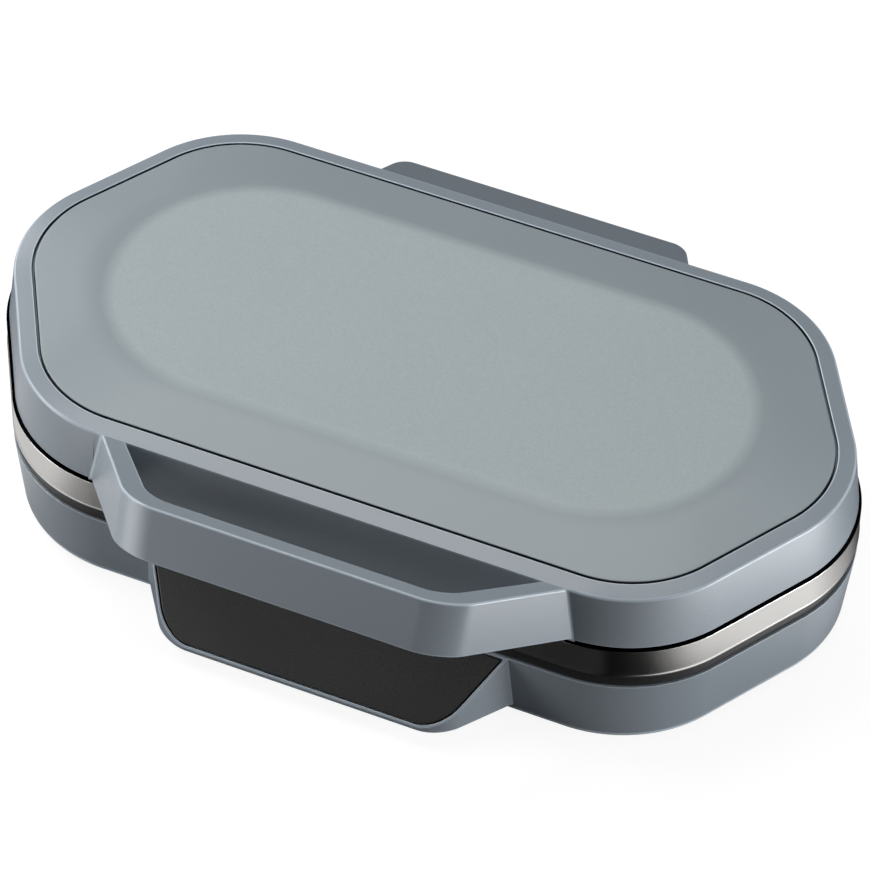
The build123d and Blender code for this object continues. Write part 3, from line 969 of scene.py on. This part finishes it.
def wellBack(bm, centreX, near, far):
    # the outside of a well, from the back of the plate to the bottom
    steps, radius = plate["wellSteps"], plate["floor"] + plate["skin"]
    rings = []
    for height, closed in ((near, False), (far, True)):
        place = Matrix.Translation((centreX, 0, height))
        made = bmesh.ops.create_circle(bm, cap_ends=closed, segments=steps, radius=radius, matrix=place)
        rings.append(ringEdges(made["verts"]))
    bridgeAll(bm, rings)
    return rings[0]


def makePlate(side, name, node, body):
    # side is -1 for the lower plate and 1 for the upper one
    values = plate
    bm = bmesh.new()
    land = values["middle"] + side * values["gap"] / 2
    skirt = values["lowerSkirt"] if side < 0 else values["upperSkirt"]
    level = land + side * values["depth"]
    back = side * values["skin"]
    centres = (-values["wellX"], values["wellX"])
    for centreX in centres:
        wellFloor(bm, centreX, level, -side * values["studHeight"])
    roundRing(bm, sharpEdges(bm, values["sharp"]), values["edgeRadius"], segments=2)
    rims = []
    for centreX in centres:
        rim = growRing(bm, openRing(bm, centreX, level), centreX, values["mouth"], land)
        mouth = rim
        for radius, deep in values["groove"] if side < 0 else values["groove"][:1]:
            rim = growRing(bm, rim, centreX, radius, land + side * deep * values["grooveDepth"])
        roundRing(bm, mouth, values["mouthRadius"])
        rims += rim
    outer = outlineRing(bm, values["grow"], land)
    bmesh.ops.triangle_fill(bm, edges=outer + rims, use_beauty=True)
    outerLow = outlineRing(bm, values["grow"], skirt)
    innerLow = outlineRing(bm, values["grow"] - values["skirtWidth"], skirt)
    innerHigh = outlineRing(bm, values["grow"] - values["skirtWidth"], land + back)
    bridgeAll(bm, [outer, outerLow, innerLow, innerHigh])
    backs = []
    for centreX in centres:
        backs += wellBack(bm, centreX, land + back, level + back)
    bmesh.ops.triangle_fill(bm, edges=innerHigh + backs, use_beauty=True)
    roundRing(bm, outer, values["rimRadius"])
    tidyNormals(bm)
    finishPiece(bm, name, body, finishes["plate"], [node])


# Hinge: lugs on the base between pairs of arms on the lid, all round the same axis.
# Each kind is (radius round the pin, low point, high point, width, starts along X).
hinge = {
    "axisY": 112.0, "axisZ": 48.0, "steps": 48, "edgeRadius": 0.5, "sharp": 60, "flatAngle": 1,
    "lug": (7.0, (97.6, 14.0), (99.6, 34.0), 12.0, (-52.0, 40.0)),
    "arm": (7.5, (98.6, 61.0), (98.2, 66.0), 5.0, (-58.0, -39.0, 34.0, 53.0)),
}


def makeHingeParts(kind, name, body):
    radius, low, high, width, starts = hinge[kind]
    steps, upright = hinge["steps"], Matrix.Rotation(pi / 2, 4, "Y")
    bm = bmesh.new()
    for start in starts:
        points = []
        for x in (start, start + width):
            place = Matrix.Translation((x, hinge["axisY"], hinge["axisZ"])) @ upright
            points += bmesh.ops.create_circle(bm, segments=steps, radius=radius, matrix=place)["verts"]
            points += [bm.verts.new((x, *low)), bm.verts.new((x, *high))]
        hull = bmesh.ops.convex_hull(bm, input=points)
        bmesh.ops.delete(bm, geom=list(set(hull["geom_interior"])), context="VERTS")
    bmesh.ops.dissolve_limit(bm, angle_limit=radians(hinge["flatAngle"]), verts=bm.verts, edges=bm.edges)
    tidyNormals(bm)
    roundRing(bm, sharpEdges(bm, hinge["sharp"]), hinge["edgeRadius"], segments=2)
    finishPiece(bm, name, body, finishes["housing"], ())


makeLid()
makePanelPiece()
makeBand()
makeHingeCover()
print("lid pieces made")
makeBase()
makeConsole()
makePlate(-1, "lowerPlate", "lower_waffle_plate", "base")
makePlate(1, "upperPlate", "upper_waffle_plate", "lid")
makeHingeParts("lug", "hingeLugs", "base")
makeHingeParts("arm", "hingeArms", "lid")
print("base, plates and hinge made")


# Studio: a floor that stays white to the camera and takes a soft shadow, soft boxes round the
# object, and bright cards on the floor that only its glossy sides see
studio = {
    "world": 0.0, "floorSize": 3.0, "floorRough": 0.9, "cardHeight": 0.0004,
    "floorSeen": tone(0.93, 0.93, 0.93), "floorUnseen": tone(0.25, 0.25, 0.25),
    "floorGlossy": tone(0.03, 0.03, 0.03), "floorGlow": 0.82, "glowStrength": 1.1,
    "target": (0.0, 0.0, 0.05), "reach": 1.6,
}

# Each soft box is (azimuth, elevation, power, size)
softBoxes = {
    "topLeft": (240, 66, 4.6, 0.6), "topBack": (180, 66, 4.4, 0.6), "left": (270, 42, 8.4, 0.6),
    "backLeft": (240, 22, 5.6, 0.6), "right": (90, 6, 24.0, 0.6), "frontLeft": (300, 22, 3.6, 0.6),
    "lowLeft": (300, 6, 8.6, 0.6), "front": (330, 22, 0.9, 0.6), "frontLow": (345, 6, 0.6, 0.4),
    "above": (262, 78, 2.4, 0.25),
}

# Each card is (x range, y range, stops across, stops along, strength); a stop is (share, brightness)
cards = {
    "rightCard": ((0.13, 0.50), (-0.24, 0.10),
                  ((0.0, 0.0), (0.12, 0.0), (0.16, 0.02), (0.21, 0.09), (0.33, 0.10), (0.42, 0.6),
                   (0.55, 1.0)),
                  ((0.0, 0.3), (0.25, 1.0), (0.70, 1.0), (0.97, 0.0)), 9.0),
    "leftCard": ((-0.50, -0.09), (-0.45, 0.06),
                 ((0.0, 1.0), (0.55, 1.0), (0.79, 0.95), (0.85, 0.42), (0.95, 0.1), (1.0, 0.0)),
                 ((0.0, 1.0), (0.45, 0.8), (0.55, 0.15), (0.82, 0.13), (0.97, 0.0)), 5.4),
}


def flatSheet(name, across, along, height):
    bm = bmesh.new()
    sheet = bmesh.ops.create_grid(bm, x_segments=1, y_segments=1, size=1.0)["verts"]
    for vert in sheet:
        vert.co = (across[vert.co.x > 0], along[vert.co.y > 0], height)
    made = toObject(bm, name)
    return made


def makeFloor():
    size = studio["floorSize"]
    floor = flatSheet("floor", (-size, size), (-size, size), 0.0)
    finish = Finish("floorWhite")
    white = {"Color": tone(1, 1, 1), "Strength": studio["glowStrength"]}
    glow = finish.node("ShaderNodeEmission", values=white)
    path = finish.node("ShaderNodeLightPath").output.node.outputs
    camera, glossy = Wire(finish, path["Is Camera Ray"]), Wire(finish, path["Is Glossy Ray"])
    unseen = finish.mixColor(glossy, studio["floorUnseen"], studio["floorGlossy"])
    finish.vary(Base_Color=finish.mixColor(camera, unseen, studio["floorSeen"]))
    finish.constants(Roughness=studio["floorRough"], Specular_IOR_Level=0.0)
    mix = finish.node("ShaderNodeMixShader", values={0: camera * studio["floorGlow"]}).output.node
    tree = finish.tree
    tree.links.new(finish.shader.outputs[0], mix.inputs[1])
    tree.links.new(glow.output, mix.inputs[2])
    tree.links.new(mix.outputs[0], tree.nodes["Material Output"].inputs["Surface"])
    floor.data.materials.append(finish.material)


def makeCard(name, across, along, acrossStops, alongStops, strength):
    card = flatSheet(name, across, along, studio["cardHeight"])
    finish = Finish(name)
    x, y, _ = finish.axes()
    fades = []
    for spot, (low, high), stops in ((x, across, acrossStops), (y, along, alongStops)):
        share = (spot - low) * (1 / (high - low))
        greys = [(position, tone(value, value, value)) for position, value in stops]
        fades.append(finish.node("ShaderNodeValToRGB", {"stops": greys}, {"Fac": share}))
    color = finish.node("ShaderNodeMix", {"data_type": "RGBA", "blend_type": "MULTIPLY"},
                        {0: 1.0, 6: fades[0], 7: fades[1]}, output=2)
    glow = finish.node("ShaderNodeEmission", values={"Color": color, "Strength": strength})
    finish.tree.links.new(glow.output, finish.tree.nodes["Material Output"].inputs["Surface"])
    card.data.materials.append(finish.material)
    card.visible_camera = False
    card.visible_diffuse = False
    card.visible_shadow = False
    card.visible_transmission = False


def makeBox(name, azimuth, elevation, power, size):
    data = bpy.data.lights.new(name, "AREA")
    data.shape = "SQUARE"
    data.size = size
    data.energy = power
    light = bpy.data.objects.new(name, data)
    turn, rise = radians(azimuth), radians(elevation)
    away = Vector((sin(turn) * cos(rise), -cos(turn) * cos(rise), sin(rise)))
    light.location = Vector(studio["target"]) + away * studio["reach"]
    light.rotation_euler = away.to_track_quat("Z", "Y").to_euler()
    scene.collection.objects.link(light)


def makeWorld():
    world = bpy.data.worlds.new("surroundings")
    world.use_nodes = True
    world.node_tree.nodes["Background"].inputs["Color"].default_value = tone(1, 1, 1)
    world.node_tree.nodes["Background"].inputs["Strength"].default_value = studio["world"]
    scene.world = world


makeFloor()
makeWorld()
for name, values in cards.items():
    makeCard(name, *values)
for name, values in softBoxes.items():
    makeBox(name, *values)
scene.view_settings.view_transform = "Standard"
print("studio lit")
